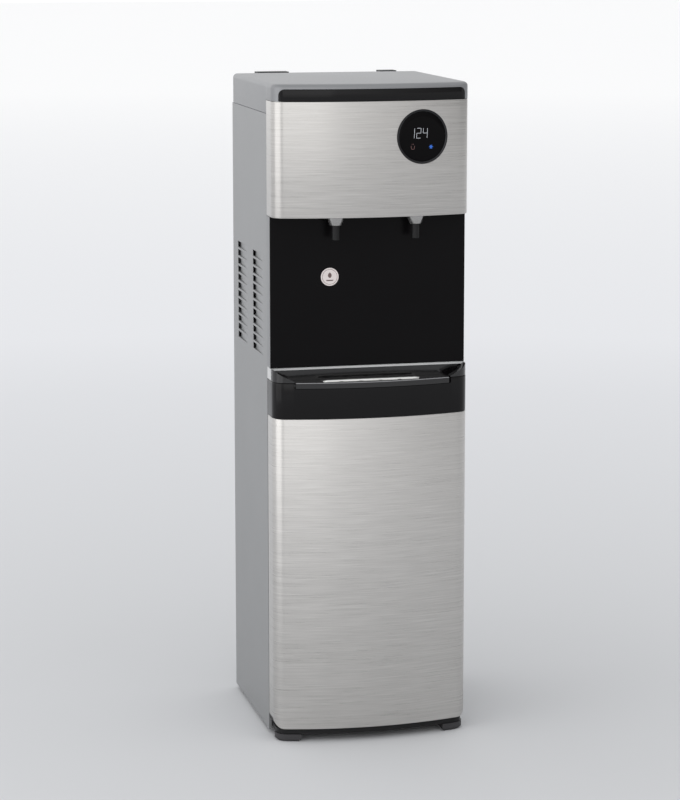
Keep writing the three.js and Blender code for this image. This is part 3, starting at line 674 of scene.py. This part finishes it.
def build_badge():
    """Round generic sticker by the hot tap: a drop over a cup line inside a thin ring."""
    x, z, face = -61, 730, -134.4
    ink = face - 0.06
    sides = 64
    levels = [(14, -133.6), (14, -134.25), (13.85, face), (12.0, face), (6, face)]
    sticker = lofted(facing_rings(x, z, levels, sides))
    fitted("badge_sticker", sticker, PRINTED_LABEL, "cabinet", ["badge_disc"])

    drop = []
    for c, s in round_steps(24):
        squeeze = 1 - 0.55 * max(0.0, s) ** 2
        drop.append((x + 3.0 * c * squeeze, z + 2.6 + 4.2 * s))
    saucer = [(x - 6.0, z - 4.6), (x + 6.0, z - 4.6), (x + 4.8, z - 6.4), (x - 4.8, z - 6.4)]
    border = [(11.4, face), (11.4, ink), (11.9, ink), (11.9, face)]
    print_shape = together(
        plates((drop, saucer), face, ink),
        lofted(facing_rings(x, z, border, sides), joined=True),
    )
    fitted("badge_print", print_shape, LABEL_INK, "cabinet")


# ---------------------------------------------------------------- grille ridge and tray


def build_tray_rim():
    """Light-grey bead along the top edge of the tray's front lip: a painted highlight for the
    bright line on that edge.
    """
    half_length, radius, height = 121.6, 0.9, 570.7
    rings = []
    for i in range(49):
        x = -half_length + 2 * half_length * i / 48
        lean = math.asin(x / BOW_R)
        y = bow_face(x, 0.8) + 1.0
        rings.append([
            (x - radius * c * math.sin(lean), y + radius * c * math.cos(lean), height + radius * s)
            for c, s in round_steps(10)
        ])
    fitted("tray_rim_bead", lofted(rings), RIM_PAINTED_HIGHLIGHT, "drip_tray", crease=60)


def build_grille_ridge():
    """Half-round ridge pressed along the drip grille, with ends that run out into the plate."""
    y, z, half_width, rise = -154.6, 570.3, 3.4, 2.9
    run_out = [(69, 1), (73, 0.9), (75.5, 0.6), (77, 0.15)]
    rings = []
    for x, share in [(-x, share) for x, share in reversed(run_out)] + run_out:
        arc = []
        for i in range(13):
            a = math.pi * i / 12
            arc.append((x, y - half_width * share * math.cos(a), z + rise * share * math.sin(a)))
        rings.append(arc)
    fitted("grille_ridge", lofted(rings), GRILLE_STEEL, "drip_grille", crease=60)


# ---------------------------------------------------------------- probe hose


def build_probe_hose():
    """Ribbed silicone hose between the bottle cap and the deck."""
    near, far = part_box("probe_hose")
    x, y = (near[0] + far[0]) / 2 / MM, (near[1] + far[1]) / 2 / MM
    low, high = near[2] / MM, far[2] / MM
    ribs = 64
    wall = []
    for i in range(ribs + 1):
        share = i / ribs
        at_an_end = share < 0.08 or share > 0.92
        radius = 4.7 if at_an_end else 4.5 + 0.45 * math.cos(share * ribs * math.pi / 2)
        wall.append((radius, low + (high - low) * share))
    bore = [(3.4, z) for _, z in reversed(wall)]
    tube = fitted(
        "probe_hose_ribbed", spun(wall + bore, x, y, sides=32), SILICONE, None, ["probe_hose"],
        crease=60,
    )
    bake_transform(tube)


# ---------------------------------------------------------------- rear screws


def build_rear_screws():
    """Pan-head screws round the edges of both rear sheets."""
    _, panel_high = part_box("rear_panel_lower")
    rear = panel_high[1] / MM
    places = [(side * 147, z) for side in (-1, 1) for z in (36, 210, 390, 560, 600, 780, 960)]
    places += [(x, z) for x in (-75, 0, 75) for z in (36, 966)]
    head = [(3.4, -0.3), (3.4, 0.7), (3.0, 1.4), (2.0, 1.8), (0.7, 1.9)]
    levels = [(r, rear + out) for r, out in head]
    screws = [lofted(facing_rings(x, z, levels, 24)) for x, z in places]
    fitted("rear_panel_screws", together(*screws), SCREW_ZINC, "cabinet")


# ---------------------------------------------------------------- pieces kept from the frame


KEPT = {
    CABINET_PAINT: ("side_panel_left", "side_panel_right"),
    COVER_ABS: ("alcove_frame",),
    LIP_PAINTED_HIGHLIGHT: ("lip_trim",),
    TRAY_ABS: ("tray_housing", "drip_tray"),
    SPLASH_ACRYLIC: ("splash_panel",),
    GRILLE_STEEL: ("drip_grille",),
    BLACK_PP: ("base_pan", "head_soffit", "rear_spacer_left", "rear_spacer_right", "switch_box",
               "cord_inlet", "door_rail"),
    FOOT_PP: ("foot_front_right", "foot_front_left", "foot_rear_right", "foot_rear_left"),
    GREY_ABS: ("drain_cap",),
    LINER_ABS: ("door_liner",),
    WHITE_PP: ("bay_wall_left", "bay_wall_right", "bay_wall_rear", "water_pump", "probe_holder",
               "tap_valve_hot", "tap_valve_cold", "drain_spout"),
    ZINC_SHEET: ("rear_panel_lower", "rear_panel_upper", "tank_shelf", "mid_deck",
                 "hinge_pin_lower", "hinge_pin_upper"),
    BLACK_ENAMEL: ("compressor", "condenser"),
    TANK_STEEL: ("hot_tank", "cold_tank", "probe_tube"),
    EPS_FOAM: ("cold_foam",),
    PCB_MASK: ("control_board",),
    SILICONE: ("pump_hose",),
    PROBE_BLUE: ("probe_cap",),
    ROCKER_RED: ("rocker_hot",),
    ROCKER_GREEN: ("rocker_cold",),
}
# Edge radius in millimetres, and the pieces where it isn't the usual one.
USUAL_EDGE = 0.35
EDGES = {
    "condenser": 0, "pump_hose": 0, "drip_grille": 0.3, "drip_tray": 0.7, "tray_housing": 0.9,
    "lip_trim": 0.6,
}


def finish_kept_pieces():
    for finish, names in KEPT.items():
        for name in names:
            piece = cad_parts[name]
            piece.data.materials.clear()
            piece.data.materials.append(finish)
            set_edges(piece, EDGES.get(name, USUAL_EDGE))


# ---------------------------------------------------------------- studio


def build_studio():
    floor_mesh = bpy.data.meshes.new("studio_floor")
    reach = 40
    corners = [(-reach, -reach, 0), (reach, -reach, 0), (reach, reach, 0), (-reach, reach, 0)]
    floor_mesh.from_pydata(corners, [], [(0, 1, 2, 3)])
    floor = bpy.data.objects.new("studio_floor", floor_mesh)
    bpy.context.scene.collection.objects.link(floor)
    floor_mesh.materials.append(studio_paper_painted_falloff())

    # The room's light is near white on the left and overhead, and falls off to the right.
    world = bpy.data.worlds.new("studio")
    world.use_nodes = True
    tree = world.node_tree
    backdrop = tree.nodes["Background"]
    backdrop.inputs["Strength"].default_value = 1.2
    around = node(tree, "ShaderNodeTexCoord").outputs["Generated"]
    direction = node(tree, "ShaderNodeSeparateXYZ", inputs={0: around}).outputs
    rise = between(tree, direction["Z"], 0.1, 0.9)
    side = between(tree, direction["X"], 0.1, 0.75)
    wall = shade_between(tree, side, (1.08, 1.08, 1.09, 1), (0.36, 0.36, 0.365, 1))
    sky = shade_between(tree, rise, wall, (0.8, 0.805, 0.81, 1))
    tree.links.new(sky, backdrop.inputs["Color"])
    bpy.context.scene.world = world

    # Each with its place, what it is aimed at, its width, height and power.
    boxes = (
        ("softbox_left", (-3.0, -0.9, 0.9), (0, 0, 0.6), 2.6, 2.6, 17),
        ("softbox_front", (-1.6, -5.2, 1.9), (0, 0, 0.5), 3.2, 3.2, 16),
    )
    for name, place, aim, width, height, power in boxes:
        light = bpy.data.lights.new(name, "AREA")
        light.shape = "RECTANGLE"
        light.size, light.size_y, light.energy = width, height, power
        lamp = bpy.data.objects.new(name, light)
        lamp.location = place
        lamp.rotation_euler = (Vector(aim) - Vector(place)).to_track_quat("-Z", "Y").to_euler()
        bpy.context.scene.collection.objects.link(lamp)


def studio_paper_painted_falloff():
    """Matt seamless paper, greyer close to the machine and near white far from it: painted shade
    round the machine and a painted falloff of the light.
    """
    material, tree, surface = blank_finish("studio_paper_painted_falloff", Roughness=0.9, Specular_IOR_Level=0.1)
    place = node(tree, "ShaderNodeTexCoord").outputs["Object"]
    length = node(tree, "ShaderNodeVectorMath", {"operation": "LENGTH"}, {0: place})
    away = length.outputs["Value"]
    # Painted shade: the paper darkens towards the machine, and lightens again far away.
    near = between(tree, away, 0.6, 4.0)
    far = between(tree, away, 3.0, 16.0)
    tone = shade_between(tree, near, linear("CFD0D2"), linear("E6E7EA"))
    tone = shade_between(tree, far, tone, linear("FDFDFD"))
    tree.links.new(tone, surface.inputs["Base Color"])
    return material


def build_camera():
    """A long lens in front and a little to the left, looking slightly down."""
    lens = bpy.data.cameras.new("studio_camera")
    lens.lens = 118.7
    lens.sensor_width = 36
    lens.shift_x, lens.shift_y = -0.0084, -0.06
    lens.clip_end = 200
    camera = bpy.data.objects.new("studio_camera", lens)
    camera.location = (-0.9794, -4.0615, 1.2661)
    tipped_down, turned_right = math.radians(9.203), math.radians(13.534)
    camera.rotation_euler = (math.pi / 2 - tipped_down, 0, -turned_right)
    bpy.context.scene.collection.objects.link(camera)
    bpy.context.scene.camera = camera


build_camera()
build_studio()
build_cover()
build_front_skins()
build_display()
build_taps()
build_badge()
build_tray_rim()
build_grille_ridge()
build_probe_hose()
build_rear_screws()
finish_kept_pieces()
bpy.context.scene.view_settings.view_transform = "Standard"
